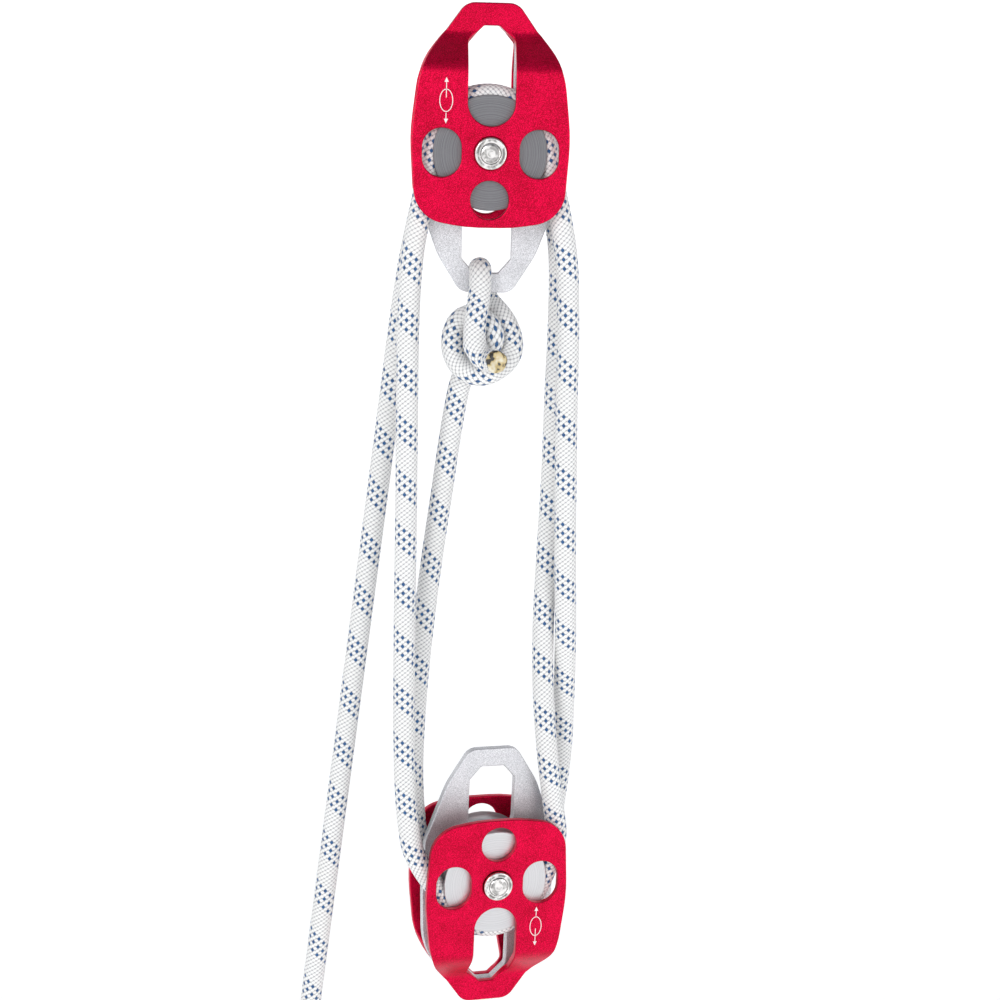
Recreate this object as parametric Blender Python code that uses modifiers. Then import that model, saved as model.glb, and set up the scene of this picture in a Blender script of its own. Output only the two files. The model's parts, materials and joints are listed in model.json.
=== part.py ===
"""A rope tackle: two double sheave blocks with swinging cheeks, rove with one braided rope.

The upper block hangs from its eye and carries the rope's fixed end in its becket. The lower block
hangs upside down in the rope. The origin is at the crown of the upper eye, +Z is up, and the front
of both blocks faces -Y. A block's own frame has its origin at its axle, its eye towards +Z.
"""

import math

import bmesh
import bpy
from mathutils import Euler, Matrix, Vector

MM = 0.001

# Driving sizes, in millimetres.
GAP = 0.3  # between pieces that touch
AXLE_DISTANCE = 401.7
UPPER_LEAN = 1.3  # degrees about its own axle
LOWER_TURN = 13.0  # degrees about the vertical, from the twist of the rope
LOWER_LEAN = 2.3  # degrees about its own axle

ROPE_RADIUS = 6.0
ROPE_PLAY = 0.3  # between the rope and the groove
PITCH_RADIUS = 28.6  # of the rope's centreline round a sheave
FLANGE_RADIUS = 29.5
WALL_FLARE = 0.15  # how far a groove's side opens towards its rim
SHEAVE_WIDTH = 14.0
SIDE_CLEARANCE = 0.4  # between a sheave and the plates beside it
SHEAVE_STEPS = 24

CENTRE_THICKNESS = 5.0
CHEEK_THICKNESS = 4.0

EYE_TOP = 75.4
EYE_CROWN = 63.9
EYE_HALF_WIDTH = 12.2
EYE_BOTTOM = 13.6
EYE_TAPER = 8.0  # height over which the eye narrows to its crown
CHEEK_HALF_WIDTH = 40.9
CHEEK_BOTTOM = -38.0
CHEEK_TAPER = 2.6  # narrower at its lower corners than at the axle
CHEEK_CORNER_RISE = 4.4  # from the middle of its lower edge
CENTRE_INSET = 2.6  # how far the cheeks reach past the centre plate's sides
CENTRE_TAPER = 0.8
BEND_START = 39.5
BEND_END = 61.5
BEND_STEPS = 5
WINDOW_OFFSET = 25.0
WINDOW_HALF_WIDTH = 10.1
WINDOW_HALF_HEIGHT = 12.4
DRAIN_HEIGHT = -23.8
DRAIN_RADIUS = 9.9
BECKET_BOTTOM = -73.5
BECKET_CROWN = -63.3
BECKET_TOP = -22.0
BECKET_HALF_WIDTH = 13.0
BECKET_TAPER = 7.5  # height over which the becket narrows to its crown

AXLE_RADIUS = 4.5
AXLE_HEAD_LIP = 0.7  # how far its spread ends reach past its shank
AXLE_HEAD_RISE = 0.7
WASHER_RADIUS = 8.25
WASHER_THICKNESS = 1.6
WASHER_BEVEL = 0.6
COUNTERSINK = 1.0
BUSH_RADIUS = 8.0
SPACER_THICKNESS = 0.8
INNER_RACE_RADIUS = 8.0  # outside of its shoulders
OUTER_RACE_RADIUS = 13.2
OUTER_RACE_BORE = 10.0
BALL_RADIUS = 1.6
BALL_COUNT = 8
CAGE_HALF_WIDTH = 0.6
CAGE_HALF_BAND = 0.5
RIM_BEVEL = 0.4  # on a sheave's flanges
RACE_STEPS = 16
GROOVE_STEPS = 8
DRAIN_SIDES = 20
ARC_STEP = 15.0  # degrees of an outline's arc for each side

BORE_RADIUS = AXLE_RADIUS + GAP
AXLE_HEAD_RADIUS = AXLE_RADIUS + AXLE_HEAD_LIP
BALL_PITCH_RADIUS = (INNER_RACE_RADIUS + OUTER_RACE_BORE) / 2
SHEAVE_BORE = OUTER_RACE_RADIUS + GAP
SHEAVE_OFFSET = CENTRE_THICKNESS / 2 + SIDE_CLEARANCE + SHEAVE_WIDTH / 2
CHEEK_INNER = SHEAVE_OFFSET + SHEAVE_WIDTH / 2 + SIDE_CLEARANCE
CHEEK_OUTER = CHEEK_INNER + CHEEK_THICKNESS
CLOSED_INNER = CENTRE_THICKNESS / 2 + GAP  # inside of a cheek at its eye
RACE_HALF_WIDTH = SHEAVE_OFFSET - CENTRE_THICKNESS / 2 - 2 * GAP - SPACER_THICKNESS
TRACK = BALL_RADIUS + GAP
UPPER_TURN = Euler((0, math.radians(UPPER_LEAN), 0)).to_matrix()
UPPER_AXLE = UPPER_TURN @ Vector((0, 0, -EYE_CROWN))
LOWER_AXLE = UPPER_AXLE - Vector((0, 0, AXLE_DISTANCE))

# The rope, from its cut end to the stopper knot. Places are x, y, height in millimetres, with the
# height measured from the upper axle.
BECKET_KNOT = [
    (3.0, -25.5, -107.0),
    (2.8, -22.0, -107.4),
    (0.6, -18.8, -108.6),
    (-4.0, -17.2, -108.4),
    (-7.8, -16.6, -103.5),
    (-8.6, -15.6, -95.0),
    (-7.4, -13.8, -86.0),
    (-5.6, -11.4, -77.0),
    (-4.6, -9.6, -69.0),
    (-4.4, -8.9, -63.0),
    (-4.4, -6.2, -58.6),
    (-4.4, 0.0, -56.6),
    (-4.4, 6.2, -58.6),
    (-4.4, 8.9, -63.0),
    (-4.0, 9.8, -69.0),
    (-2.5, 10.0, -75.5),
    (1.5, 8.5, -81.5),
    (7.0, 4.0, -85.5),
    (10.6, -0.5, -92.5),
    (11.0, -3.0, -101.5),
    (7.5, -5.5, -111.0),
    (0.0, -6.5, -117.5),
    (-9.5, -6.5, -117.5),
    (-17.5, -5.0, -111.0),
    (-20.2, -4.0, -101.5),
    (-18.5, -3.0, -91.0),
    (-12.5, -1.5, -84.5),
    (-3.5, -3.0, -86.0),
    (3.5, -8.0, -92.5),
    (5.0, -6.5, -101.5),
    (0.0, 3.0, -106.0),
    (-8.5, 8.0, -110.5),
    (-13.5, 8.5, -120.5),
]
STANDING_RUN = [
    (-16.5, 8.5, -132.0),
    (-20.5, 8.5, -155.3),
    (-25.0, 8.5, -185.8),
    (-31.0, 8.5, -226.3),
    (-36.0, 8.5, -266.9),
    (-39.5, 7.0, -302.3),
    (-41.5, 4.5, -337.8),
    (-41.0, 2.3, -363.2),
    (-38.5, 1.3, -383.5),
]
CROSSING_RUN = [
    (36.5, 18.4, -383.5),
    (40.5, 18.6, -361.1),
    (43.0, 15.5, -332.8),
    (43.5, 9.0, -297.3),
    (43.2, 1.0, -261.8),
    (42.0, -5.5, -221.2),
    (41.5, -8.5, -175.6),
    (41.5, -9.5, -130.0),
    (41.8, -9.9, -90.0),
    (40.5, -9.9, -55.0),
    (35.5, -9.9, -26.0),
]
FRONT_RUN = [
    (-35.0, -9.9, -26.0),
    (-40.0, -9.9, -52.0),
    (-42.5, -9.9, -85.0),
    (-43.5, -10.2, -130.0),
    (-44.5, -10.8, -190.8),
    (-45.8, -12.8, -251.7),
    (-46.5, -15.5, -302.3),
    (-46.3, -17.8, -337.8),
    (-44.8, -19.3, -363.2),
    (-41.0, -19.5, -383.5),
]
REAR_RUN = [
    (38.5, -1.2, -383.5),
    (36.8, -2.6, -361.1),
    (33.5, -3.5, -332.8),
    (31.0, -1.0, -297.3),
    (31.0, 4.5, -261.8),
    (33.0, 8.5, -221.2),
    (35.5, 9.7, -175.6),
    (37.0, 9.9, -130.0),
    (38.5, 9.9, -90.0),
    (38.5, 9.9, -55.0),
    (34.5, 9.9, -26.0),
]
FALL = [
    (-34.5, 9.9, -26.0),
    (-41.0, 9.9, -55.0),
    (-47.0, 9.9, -92.0),
    (-55.0, 9.9, -150.0),
    (-64.0, 9.9, -215.0),
    (-73.0, 9.9, -280.0),
    (-82.0, 9.9, -345.0),
    (-91.0, 9.9, -410.0),
    (-99.0, 9.9, -468.0),
    (-102.0, 9.9, -490.0),
]
STOPPER_KNOT = [
    (-103.5, 9.0, -503.0),
    (-101.0, 6.0, -514.0),
    (-95.0, 2.5, -523.0),
    (-93.0, 3.0, -534.0),
    (-101.0, 5.5, -541.0),
    (-111.5, 7.0, -537.0),
    (-116.0, 4.5, -526.5),
    (-111.0, 0.0, -517.0),
    (-101.5, -2.5, -513.5),
    (-91.5, 2.0, -514.5),
    (-87.5, 12.0, -520.0),
    (-93.0, 17.0, -528.5),
    (-103.0, 13.5, -531.0),
    (-108.5, 4.5, -531.0),
    (-110.0, -5.5, -536.0),
    (-110.5, -8.5, -548.0),
    (-111.0, -8.5, -558.0),
]
UPPER_CONTACT = 12.0  # degrees past the axle, towards the eye, where the rope meets a sheave
LOWER_CONTACT = 30.0
WRAP_STEP = 15.0  # degrees of a wrap for each of the rope's points
ROPE_SPACING = 26.0  # between the points along a straight stretch
KNOT_SPACING = 9.0
SQUARE_END = 2.5  # straight length at each end of a stretch

RED_ANODISED = ("red_anodised", (0.60, 0.010, 0.030), 0.38, 0.7)
BLASTED = ("blasted_aluminium", (0.70, 0.70, 0.72), 0.55, 0.9)
MACHINED = ("machined_aluminium", (0.52, 0.53, 0.54), 0.40, 0.9)
STAINLESS = ("stainless", (0.74, 0.73, 0.71), 0.20, 1.0)
RACE_STEEL = ("race_steel", (0.55, 0.56, 0.58), 0.18, 1.0)
CAGE_BRASS = ("cage_brass", (0.70, 0.52, 0.24), 0.35, 1.0)
BRONZE = ("bronze", (0.58, 0.40, 0.22), 0.40, 1.0)
BRAID = ("braid", (0.90, 0.90, 0.88), 0.85, 0.0)


def clear_scene():
    for old in list(bpy.data.objects):
        bpy.data.objects.remove(old, do_unlink=True)


def collection(name, hidden=False):
    made = bpy.data.collections.new(name)
    bpy.context.scene.collection.children.link(made)
    made.hide_render = hidden
    return made


def material(look):
    name, color, roughness, metallic = look
    found = bpy.data.materials.get(name)
    if found:
        return found
    made = bpy.data.materials.new(name)
    made.use_nodes = True
    shader = made.node_tree.nodes["Principled BSDF"]
    shader.inputs["Base Color"].default_value = (*color, 1)
    shader.inputs["Roughness"].default_value = roughness
    shader.inputs["Metallic"].default_value = metallic
    return made


def add_object(name, data, look, place, parent=None):
    obj = bpy.data.objects.new(name, data)
    place.objects.link(obj)
    if not data.materials:
        data.materials.append(None)
    slot = obj.material_slots[0]
    slot.link = "OBJECT"
    slot.material = material(look)
    obj.parent = parent
    return obj


def solid_from_curve(curve):
    """The curve's mesh with its caps welded on. The curve itself is removed."""
    holder = bpy.data.objects.new("outline", curve)
    bpy.context.scene.collection.objects.link(holder)
    graph = bpy.context.evaluated_depsgraph_get()
    mesh = bpy.data.meshes.new_from_object(holder.evaluated_get(graph))
    bpy.data.objects.remove(holder, do_unlink=True)
    bpy.data.curves.remove(curve)
    work = bmesh.new()
    work.from_mesh(mesh)
    bmesh.ops.remove_doubles(work, verts=work.verts, dist=0.01 * MM)
    bmesh.ops.recalc_face_normals(work, faces=work.faces)
    work.to_mesh(mesh)
    work.free()
    return mesh


def filleted(corners):
    """A closed outline: each corner (x, height, radius) becomes an arc that touches both its sides."""
    outline = []
    for index, (x, height, radius) in enumerate(corners):
        corner = Vector((x, height))
        before = (Vector(corners[index - 1][:2]) - corner).normalized()
        after = (Vector(corners[(index + 1) % len(corners)][:2]) - corner).normalized()
        half = before.angle(after) / 2
        turn = math.pi - 2 * half
        centre = corner + (before + after).normalized() * radius / math.sin(half)
        start = corner + before * radius / math.tan(half) - centre
        sides = max(1, math.ceil(math.degrees(turn) / ARC_STEP))
        sign = 1 if before.cross(after) < 0 else -1
        for step in range(sides + 1):
            angle = sign * turn * step / sides
            outline.append(centre + Matrix.Rotation(angle, 2) @ start)
    return outline


def mirrored(half):
    """Both halves of an outline from its right half, listed top to bottom."""
    return half + [(-x, height, radius) for x, height, radius in reversed(half)]


def circle(height, radius, sides):
    turns = [2 * math.pi * step / sides for step in range(sides)]
    return [Vector((math.cos(turn), math.sin(turn))) * radius + Vector((0, height)) for turn in turns]


def window(x):
    """The long hole beside the axle, with straight sides and round ends."""
    radius = WINDOW_HALF_WIDTH * 0.98
    corners = [
        (x + WINDOW_HALF_WIDTH * across, WINDOW_HALF_HEIGHT * up, radius)
        for across, up in ((1, 1), (1, -1), (-1, -1), (-1, 1))
    ]
    return filleted(corners)


def flat_curve(loops, thickness):
    """A filled 2D curve. A loop inside another is a hole."""
    curve = bpy.data.curves.new("outline", "CURVE")
    curve.dimensions = "2D"
    curve.fill_mode = "BOTH"
    curve.extrude = thickness / 2 * MM
    for loop in loops:
        spline = curve.splines.new("POLY")
        spline.points.add(len(loop) - 1)
        for point, place in zip(spline.points, loop):
            point.co = (place.x * MM, place.y * MM, 0, 1)
        spline.use_cyclic_u = True
    return curve


def shade_round(mesh, degrees=30):
    mesh.shade_smooth()
    mesh.set_sharp_from_angle(angle=math.radians(degrees))


EYE_SLOT = mirrored(
    [
        (4.0, EYE_CROWN, 2.0),
        (EYE_HALF_WIDTH, EYE_CROWN - EYE_TAPER, 4.0),
        (EYE_HALF_WIDTH, EYE_BOTTOM, EYE_HALF_WIDTH * 0.999),
    ]
)
BECKET_SLOT = mirrored(
    [
        (BECKET_HALF_WIDTH, BECKET_TOP, BECKET_HALF_WIDTH * 0.9),
        (BECKET_HALF_WIDTH, BECKET_CROWN + BECKET_TAPER, 2.0),
        (BECKET_HALF_WIDTH / 2, BECKET_CROWN, 2.0),
    ]
)
EYE_END = [(13.2, EYE_TOP, 9.0), (36.8, 42.8, 42.0)]
CHEEK_OUTLINE = mirrored(
    EYE_END
    + [
        (CHEEK_HALF_WIDTH, 8.0, 100.0),
        (CHEEK_HALF_WIDTH - CHEEK_TAPER, CHEEK_BOTTOM + CHEEK_CORNER_RISE, 18.0),
        (12.0, CHEEK_BOTTOM, 80.0),
    ]
)
CENTRE_OUTLINE = mirrored(
    EYE_END
    + [
        (CHEEK_HALF_WIDTH - CENTRE_INSET, 8.0, 100.0),
        (CHEEK_HALF_WIDTH - CENTRE_INSET - CENTRE_TAPER, -22.0, 15.0),
        (26.0, -53.5, 40.0),
        (13.5, BECKET_BOTTOM, 8.0),
    ]
)


def bend(height):
    """How far the middle of a cheek lies from the block's middle, at a height in its own frame."""
    share = min(1, max(0, (height - BEND_START) / (BEND_END - BEND_START)))
    share = share * share * (3 - 2 * share)
    flat = CHEEK_INNER + CHEEK_THICKNESS / 2
    closed = CLOSED_INNER + CHEEK_THICKNESS / 2
    return flat + (closed - flat) * share


def bent(height, above):
    """Where a point of the flat cheek comes to lie: its height, and its depth from the block's middle."""
    rise = (bend(height + 0.01) - bend(height - 0.01)) / 0.02
    length = math.hypot(1, rise)
    return height - above * rise / length, bend(height) + above / length


def cheek_solid():
    """A front cheek, cut flat and then bent in towards the centre plate at its eye."""
    loops = [
        filleted(CHEEK_OUTLINE),
        filleted(EYE_SLOT),
        window(-WINDOW_OFFSET),
        window(WINDOW_OFFSET),
        circle(DRAIN_HEIGHT, DRAIN_RADIUS, DRAIN_SIDES),
        circle(0, BUSH_RADIUS + GAP, RACE_STEPS),
    ]
    mesh = solid_from_curve(flat_curve(loops, CHEEK_THICKNESS))
    work = bmesh.new()
    work.from_mesh(mesh)
    for step in range(BEND_STEPS + 1):
        height = BEND_START + (BEND_END - BEND_START) * step / BEND_STEPS
        everything = list(work.verts) + list(work.edges) + list(work.faces)
        bmesh.ops.bisect_plane(
            work, geom=everything, plane_co=(0, height * MM, 0), plane_no=(0, 1, 0)
        )
    for vert in work.verts:
        height, depth = bent(vert.co.y / MM, vert.co.z / MM)
        vert.co = (vert.co.x, -depth * MM, height * MM)
    bmesh.ops.recalc_face_normals(work, faces=work.faces)
    work.to_mesh(mesh)
    work.free()
    return mesh


def centre_solid():
    """The flat plate with the eye at one end and the becket at the other."""
    loops = [
        filleted(CENTRE_OUTLINE),
        filleted(EYE_SLOT),
        filleted(BECKET_SLOT),
        circle(0, BORE_RADIUS, RACE_STEPS),
    ]
    mesh = solid_from_curve(flat_curve(loops, CENTRE_THICKNESS))
    mesh.transform(Matrix.Rotation(math.pi / 2, 4, "X"))
    return mesh


def turned(profile, steps, closed=True):
    """A solid turned about Y, from a profile of (radius, place along the axle)."""
    mesh = bpy.data.meshes.new("profile")
    work = bmesh.new()
    verts = [work.verts.new((radius * MM, along * MM, 0)) for radius, along in profile]
    pairs = zip(verts, verts[1:] + verts[:1]) if closed else zip(verts, verts[1:])
    for first, second in pairs:
        work.edges.new((first, second))
    work.to_mesh(mesh)
    work.free()
    holder = bpy.data.objects.new("profile", mesh)
    bpy.context.scene.collection.objects.link(holder)
    screw = holder.modifiers.new("Turn", "SCREW")
    screw.axis = "Y"
    screw.steps = steps
    screw.render_steps = steps
    screw.use_merge_vertices = True
    screw.merge_threshold = 0.00001
    graph = bpy.context.evaluated_depsgraph_get()
    solid = bpy.data.meshes.new_from_object(holder.evaluated_get(graph))
    bpy.data.objects.remove(holder, do_unlink=True)
    work = bmesh.new()
    work.from_mesh(solid)
    bmesh.ops.remove_doubles(work, verts=work.verts, dist=0.001 * MM)
    bmesh.ops.recalc_face_normals(work, faces=work.faces)
    work.to_mesh(solid)
    work.free()
    shade_round(solid)
    return solid


def ring(inner, outer, start, end):
    return turned([(inner, start), (outer, start), (outer, end), (inner, end)], RACE_STEPS)


def sheave_solid():
    groove = ROPE_RADIUS + ROPE_PLAY
    half = SHEAVE_WIDTH / 2
    rim = [
        (SHEAVE_BORE, half),
        (FLANGE_RADIUS - RIM_BEVEL, half),
        (FLANGE_RADIUS, half - RIM_BEVEL),
    ]
    profile = [(radius, -along) for radius, along in rim]
    profile.append((FLANGE_RADIUS, -groove - WALL_FLARE))
    for step in range(GROOVE_STEPS + 1):
        angle = math.pi / 2 * (2 * step / GROOVE_STEPS - 1)
        profile.append((PITCH_RADIUS - groove * math.cos(angle), groove * math.sin(angle)))
    profile.append((FLANGE_RADIUS, groove + WALL_FLARE))
    return turned(profile + rim[::-1], SHEAVE_STEPS)


def inner_race_solid():
    half = RACE_HALF_WIDTH
    profile = [
        (BORE_RADIUS, -half),
        (INNER_RACE_RADIUS, -half),
        (INNER_RACE_RADIUS, -TRACK),
        (BALL_PITCH_RADIUS - TRACK, -TRACK / 2),
        (BALL_PITCH_RADIUS - TRACK, TRACK / 2),
        (INNER_RACE_RADIUS, TRACK),
        (INNER_RACE_RADIUS, half),
        (BORE_RADIUS, half),
    ]
    return turned(profile, RACE_STEPS)


def outer_race_solid():
    half = RACE_HALF_WIDTH
    profile = [
        (OUTER_RACE_BORE, -half),
        (OUTER_RACE_RADIUS, -half),
        (OUTER_RACE_RADIUS, half),
        (OUTER_RACE_BORE, half),
        (OUTER_RACE_BORE, TRACK),
        (BALL_PITCH_RADIUS + TRACK, TRACK / 2),
        (BALL_PITCH_RADIUS + TRACK, -TRACK / 2),
        (OUTER_RACE_BORE, -TRACK),
    ]
    return turned(profile, RACE_STEPS)


def axle_solid():
    """A pin whose ends are spread into the washers' countersinks."""
    washer_end = CHEEK_OUTER + 2 * GAP + WASHER_THICKNESS
    half = [
        (AXLE_RADIUS, washer_end - COUNTERSINK),
        (AXLE_HEAD_RADIUS, washer_end - 0.1),
        (AXLE_HEAD_RADIUS - 0.3, washer_end + 0.3),
        (AXLE_HEAD_RADIUS * 0.6, washer_end + AXLE_HEAD_RISE),
        (0, washer_end + AXLE_HEAD_RISE + 0.1),
    ]
    profile = [(radius, -along) for radius, along in reversed(half)] + half
    return turned(profile, RACE_STEPS, closed=False)


def washer_solid():
    """The polished ring outside a front cheek, countersunk for the axle's end."""
    inner = -(CHEEK_OUTER + 2 * GAP)
    outer = inner - WASHER_THICKNESS
    profile = [
        (BORE_RADIUS, inner),
        (WASHER_RADIUS, inner),
        (WASHER_RADIUS, outer + WASHER_BEVEL),
        (WASHER_RADIUS - WASHER_BEVEL, outer),
        (AXLE_HEAD_RADIUS + GAP, outer),
        (BORE_RADIUS, outer + COUNTERSINK),
    ]
    return turned(profile, RACE_STEPS)


def cage_solids():
    """A cage's ring, and the balls that are joined onto it."""
    cage = ring(
        BALL_PITCH_RADIUS - CAGE_HALF_BAND,
        BALL_PITCH_RADIUS + CAGE_HALF_BAND,
        -CAGE_HALF_WIDTH,
        CAGE_HALF_WIDTH,
    )
    work = bmesh.new()
    for step in range(BALL_COUNT):
        turn = 2 * math.pi * step / BALL_COUNT
        place = Vector((math.cos(turn), 0, math.sin(turn))) * BALL_PITCH_RADIUS * MM
        bmesh.ops.create_icosphere(
            work, subdivisions=1, radius=BALL_RADIUS * MM, matrix=Matrix.Translation(place)
        )
    balls = bpy.data.meshes.new("balls")
    work.to_mesh(balls)
    work.free()
    shade_round(balls)
    return cage, balls


def add_block(name, origin, place, cutters):
    """The eighteen pieces of one block, parented to the empty at its axle."""
    front = Matrix.Identity(4)
    rear = Matrix.Rotation(math.pi, 4, "Z")

    add_object(name + "_centre_plate", shapes["centre"], BLASTED, place, origin)
    add_object(name + "_axle", shapes["axle"], STAINLESS, place, origin)

    for side, turn in (("front", front), ("rear", rear)):
        label = name + "_" + side + "_"
        offset = turn @ Matrix.Translation((0, -SHEAVE_OFFSET * MM, 0))
        cheek = add_object(label + "cheek", shapes["cheek"], RED_ANODISED, place, origin)
        cheek.matrix_local = turn
        for piece, look in (("washer", STAINLESS), ("bush", BRONZE), ("spacer", BRONZE)):
            made = add_object(label + piece, shapes[piece], look, place, origin)
            made.matrix_local = turn
        for piece, look in (
            ("sheave", MACHINED),
            ("outer_race", RACE_STEEL),
            ("inner_race", RACE_STEEL),
            ("ball_cage", CAGE_BRASS),
        ):
            made = add_object(label + piece, shapes[piece], look, place, origin)
            made.matrix_local = offset
        balls = add_object(label + "balls", shapes["balls"], RACE_STEEL, cutters, origin)
        balls.matrix_local = offset
        balls.hide_render = True
        balls.display_type = "WIRE"
        join = made.modifiers.new("Balls", "BOOLEAN")
        join.operation = "UNION"
        join.object = balls


def wrap(origin, side, contact):
    """Points round a sheave, in world millimetres, from the block's own +X over to its -X."""
    count = round((180 - 2 * contact) / WRAP_STEP)
    points = []
    for step in range(count + 1):
        angle = math.radians(contact + (180 - 2 * contact) * step / count)
        own = Vector((math.cos(angle), 0, math.sin(angle))) * PITCH_RADIUS
        own.y = SHEAVE_OFFSET * (-1 if side == "front" else 1)
        points.append(origin.matrix_world @ (own * MM) / MM)
    return points


def placed(points):
    return [UPPER_AXLE + Vector(point) for point in points]


def through(points):
    """A smooth curve through the points: for each of them, the curve up to the next one."""
    ends = [2 * points[0] - points[1]] + points + [2 * points[-1] - points[-2]]
    spans = []
    for before, start, end, after in zip(ends, ends[1:], ends[2:], ends[3:]):
        length = (end - start).length
        leave = (end - before) * length / max((end - before).length, 1e-9)
        arrive = (after - start) * length / max((after - start).length, 1e-9)
        spans.append((start, end, leave, arrive))
    return spans


def on_span(span, share):
    start, end, leave, arrive = span
    back = 1 - share
    return (
        start * (1 + 2 * share) * back * back
        + leave * share * back * back
        + end * (3 - 2 * share) * share * share
        - arrive * back * share * share
    )


def rope_lines(sections):
    """Each section's centreline, and its directions at both ends, from one curve through them all."""
    joined = []
    starts = []
    for points, _ in sections:
        starts.append(len(joined))
        joined += points
    spans = through(joined)
    starts.append(len(joined) - 1)
    lines = []
    for (points, spacing), first, last in zip(sections, starts, starts[1:]):
        line = []
        for span in spans[first:last]:
            cuts = max(1, round((span[1] - span[0]).length / spacing))
            line += [on_span(span, step / cuts) for step in range(cuts)]
        line.append(joined[last])
        lines.append((line, spans[first][2].normalized(), spans[last - 1][3].normalized()))
    return lines


def add_rope(name, line, leave, arrive, place):
    """One stretch of the rope, cut square at its ends by half the gap between pieces."""
    points = [line[0] + leave * cut for cut in (GAP / 2, SQUARE_END)]
    points += line[1:-1]
    points += [line[-1] - arrive * cut for cut in (SQUARE_END, GAP / 2)]
    curve = bpy.data.curves.new(name, "CURVE")
    curve.dimensions = "3D"
    curve.bevel_depth = ROPE_RADIUS * MM
    curve.bevel_resolution = 2
    curve.use_fill_caps = True
    spline = curve.splines.new("POLY")
    spline.points.add(len(points) - 1)
    for point, position in zip(spline.points, points):
        point.co = (*(position * MM), 1)
    return add_object(name, curve, BRAID, place)


def block_origin(name, axle, turn, place):
    empty = bpy.data.objects.new(name, None)
    place.objects.link(empty)
    empty.matrix_world = Matrix.Translation(axle * MM) @ turn.to_4x4()
    return empty


clear_scene()
tackle = collection("rope_tackle")
helpers = collection("cutters", hidden=True)

shapes = {
    "centre": centre_solid(),
    "cheek": cheek_solid(),
    "axle": axle_solid(),
    "washer": washer_solid(),
    "bush": ring(
        BORE_RADIUS,
        BUSH_RADIUS,
        -CHEEK_OUTER - GAP,
        -SHEAVE_OFFSET - RACE_HALF_WIDTH - GAP,
    ),
    "spacer": ring(
        BORE_RADIUS,
        BUSH_RADIUS,
        -CENTRE_THICKNESS / 2 - GAP - SPACER_THICKNESS,
        -CENTRE_THICKNESS / 2 - GAP,
    ),
    "sheave": sheave_solid(),
    "inner_race": inner_race_solid(),
    "outer_race": outer_race_solid(),
}
shapes["ball_cage"], shapes["balls"] = cage_solids()

upper = block_origin("upper_block", UPPER_AXLE, UPPER_TURN, tackle)
lower_turn = Euler((0, math.pi + math.radians(LOWER_LEAN), math.radians(LOWER_TURN)))
lower = block_origin("lower_block", LOWER_AXLE, lower_turn.to_matrix(), tackle)
bpy.context.view_layer.update()
add_block("upper", upper, tackle, helpers)
add_block("lower", lower, tackle, helpers)

# The rope climbs on the right of a block and comes down on its left. It passes over the upper
# sheaves and under the lower ones, whose own +X points left and whose eye points down.
sections = {
    "becket_knot": (placed(BECKET_KNOT), KNOT_SPACING),
    "standing_run": (placed(STANDING_RUN), ROPE_SPACING),
    "lower_rear_wrap": (wrap(lower, "rear", LOWER_CONTACT), KNOT_SPACING),
    "crossing_run": (placed(CROSSING_RUN), ROPE_SPACING),
    "upper_front_wrap": (wrap(upper, "front", UPPER_CONTACT), KNOT_SPACING),
    "front_run": (placed(FRONT_RUN), ROPE_SPACING),
    "lower_front_wrap": (wrap(lower, "front", LOWER_CONTACT), KNOT_SPACING),
    "rear_run": (placed(REAR_RUN), ROPE_SPACING),
    "upper_rear_wrap": (wrap(upper, "rear", UPPER_CONTACT), KNOT_SPACING),
    "fall": (placed(FALL), ROPE_SPACING),
    "stopper_knot": (placed(STOPPER_KNOT), KNOT_SPACING),
}
for name, (line, leave, arrive) in zip(sections, rope_lines(list(sections.values()))):
    add_rope("rope_" + name, line, leave, arrive, tackle)
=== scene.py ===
import json
import math

import bmesh
import bpy
import numpy as np
from mathutils import Matrix, Vector


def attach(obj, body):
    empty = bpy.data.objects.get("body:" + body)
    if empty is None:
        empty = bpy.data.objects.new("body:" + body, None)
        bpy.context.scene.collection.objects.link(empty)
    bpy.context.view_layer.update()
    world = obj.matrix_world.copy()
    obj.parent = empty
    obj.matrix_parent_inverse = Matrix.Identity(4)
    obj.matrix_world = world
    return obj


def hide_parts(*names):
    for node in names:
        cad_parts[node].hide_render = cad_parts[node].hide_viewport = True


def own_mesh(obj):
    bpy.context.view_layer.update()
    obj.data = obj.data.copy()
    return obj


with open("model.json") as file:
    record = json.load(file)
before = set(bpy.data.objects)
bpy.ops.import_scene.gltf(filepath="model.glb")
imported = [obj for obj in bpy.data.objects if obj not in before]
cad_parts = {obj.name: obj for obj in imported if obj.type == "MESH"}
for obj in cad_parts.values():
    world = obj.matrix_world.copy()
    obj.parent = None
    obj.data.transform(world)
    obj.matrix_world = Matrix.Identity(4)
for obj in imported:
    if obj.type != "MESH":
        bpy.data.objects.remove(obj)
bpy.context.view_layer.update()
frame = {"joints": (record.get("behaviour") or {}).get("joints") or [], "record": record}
record = frame["record"]
print("tackle: frame loaded")

# Sizes are in metres. A block's own frame has its origin at its axle and its eye towards +Z.
rope = {
    "radius": 0.006,
    "relief": 0.00032,  # how deep the gaps between the braid's strands are
    "strands": 12,  # that wind each way
    "lead": 0.0295,  # along the rope for one turn of a strand
    "sides": 48,
    "pitchRadius": 0.0286,  # of its centreline round a sheave
    "curveStep": 0.0008,
    "smoothing": 3,  # rounds, where one stretch runs into the next
    "tuck": 0.0005,  # how much narrower a stretch ends inside the next one
    "wrapStep": 15,  # between the points round a sheave, in degrees
}
contactAngle = {"upper": 12, "lower": 30}  # past the axle, where the rope meets a sheave
stack = {  # across a block, from its middle outwards
    "centre": 0.005,
    "cheek": 0.004,
    "sheaveMiddle": 0.0099,
    "sheaveWidth": 0.014,
    "cheekInner": 0.0173,
    "cheekOuter": 0.0213,
    "closedInner": 0.0028,
    "gap": 0.0003,
}


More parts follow.
